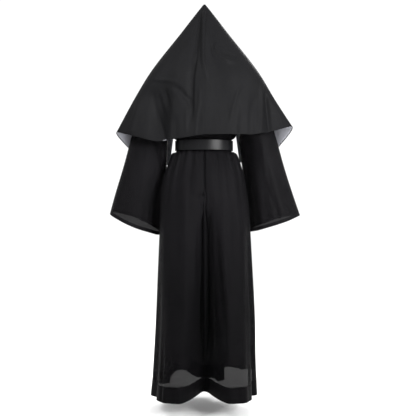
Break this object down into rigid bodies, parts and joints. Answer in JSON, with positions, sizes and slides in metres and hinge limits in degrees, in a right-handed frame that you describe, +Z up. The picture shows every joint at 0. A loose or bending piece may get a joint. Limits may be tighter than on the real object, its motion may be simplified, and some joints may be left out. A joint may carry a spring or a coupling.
{
  "type": "nun costume",
  "caption": "Full-length dark robe with bell sleeves and a leather belt, under a pointed open veil with a pale lining, in its worn shape.",
  "frame": {"origin": "middle of the neck at the height of the shoulders, where the wearer's shoulders carry the costume", "axes": "+Z up, +Y the way the wearer faces, +X the wearer's right side"},
  "size_m": [0.8358, 0.5277, 1.6604],
  "materials": {
    "robe_cloth": "matt thin woven polyester, slightly sheer",
    "veil_cloth": "matt woven polyester",
    "lining_cloth": "smooth pale lining cloth",
    "belt_hide": "satin imitation leather",
    "buckle_metal": "satin"
  },
  "bodies": {
    "root": {"robe_front_upper": "robe_cloth", "robe_front_lower": "robe_cloth", "robe_back_left_upper": "robe_cloth", "robe_back_left_lower": "robe_cloth", "robe_back_right_upper": "robe_cloth", "robe_back_right_lower": "robe_cloth", "sleeve_left_upper": "robe_cloth", "sleeve_left_lower": "robe_cloth", "sleeve_right_upper": "robe_cloth", "sleeve_right_lower": "robe_cloth", "belt_strap": "belt_hide", "belt_keeper": "belt_hide", "belt_buckle": "buckle_metal", "belt_prong": "buckle_metal", "veil_left": "veil_cloth", "veil_right": "veil_cloth", "veil_lining_left": "lining_cloth", "veil_lining_right": "lining_cloth"}
  },
  "joints": []
}
